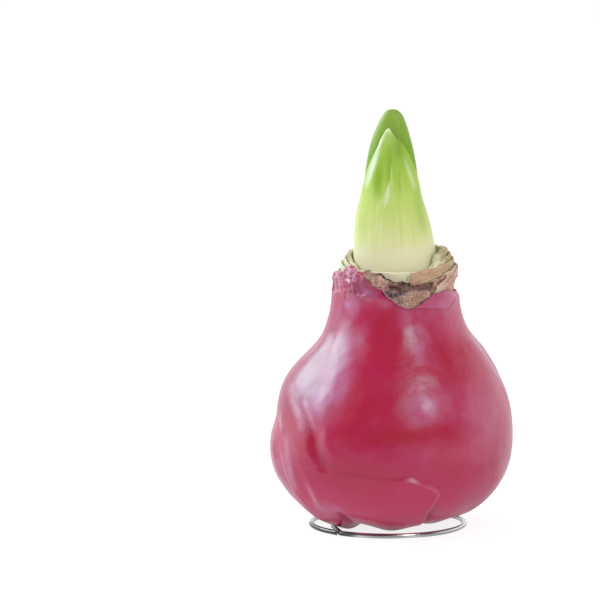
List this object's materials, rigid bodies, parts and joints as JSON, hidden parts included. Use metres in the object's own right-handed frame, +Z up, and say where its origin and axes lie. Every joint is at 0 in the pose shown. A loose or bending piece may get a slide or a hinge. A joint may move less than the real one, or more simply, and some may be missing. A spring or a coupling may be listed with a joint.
{
  "type": "waxed amaryllis bulb",
  "caption": "Flower bulb in a coat of coloured wax, with cut neck scales and a young green shoot, standing on a bent wire ring.",
  "frame": {"origin": "on the surface that the wire ring stands on, under the middle of the bulb", "axes": "+Z up along the shoot, -Y the front where the outer leaf and the torn tunic strip are, +X to the right seen from the front"},
  "size_m": [0.0925, 0.0922, 0.16],
  "materials": {
    "steel_wire": "polished",
    "wax": "glossy dipped wax, cloudy in patches",
    "bulb_flesh": "matte",
    "cut_scale": "fleshy, dried brown along the cut",
    "dry_tunic": "dry, wrinkled",
    "leaf": "satin, green at the tip and cream at the foot"
  },
  "bodies": {
    "root": {"wire_stand": "steel_wire", "wax_coat": "wax", "bulb_body": "bulb_flesh", "scale_inner": "cut_scale", "scale_middle": "cut_scale", "scale_outer": "cut_scale", "tunic": "dry_tunic", "tunic_flap": "dry_tunic", "leaf_inner": "leaf", "leaf_outer": "leaf"}
  },
  "joints": []
}
